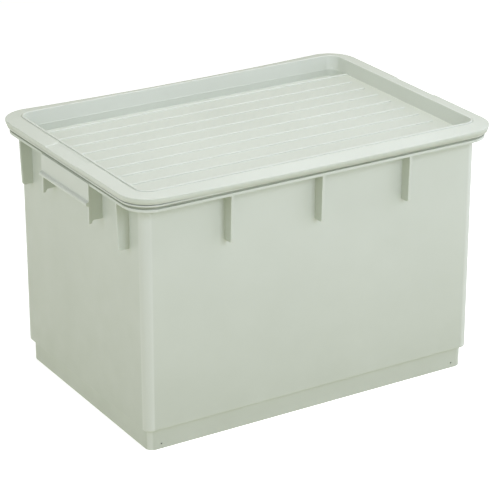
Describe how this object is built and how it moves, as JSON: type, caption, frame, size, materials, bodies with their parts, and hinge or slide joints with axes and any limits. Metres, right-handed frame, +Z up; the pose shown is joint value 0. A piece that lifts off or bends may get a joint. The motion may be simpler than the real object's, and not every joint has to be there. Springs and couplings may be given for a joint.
{
  "type": "lidded stacking crate",
  "caption": "Deep rectangular moulded crate with a hanging hand grip on each short side, outer wall ribs, a stepped-in foot, and a lift-off lid with a ribbed recessed tray top for stacking.",
  "frame": {"origin": "centre of the underside of the foot, on the surface that the crate stands on", "axes": "+X along the long side, +Y along the short side, +Z up and the way that the lid lifts off"},
  "size_m": [0.7, 0.494, 0.4545],
  "materials": {
    "crate_plastic": "satin moulded polypropylene, pale grey-green"
  },
  "bodies": {
    "tub": {"tub": "crate_plastic"},
    "lid": {"lid": "crate_plastic"}
  },
  "joints": [
    {"name": "lid_lift", "type": "slide", "parent": "tub", "child": "lid", "axis": [0, 0, 1], "range_m": [0, 0.4]}
  ]
}
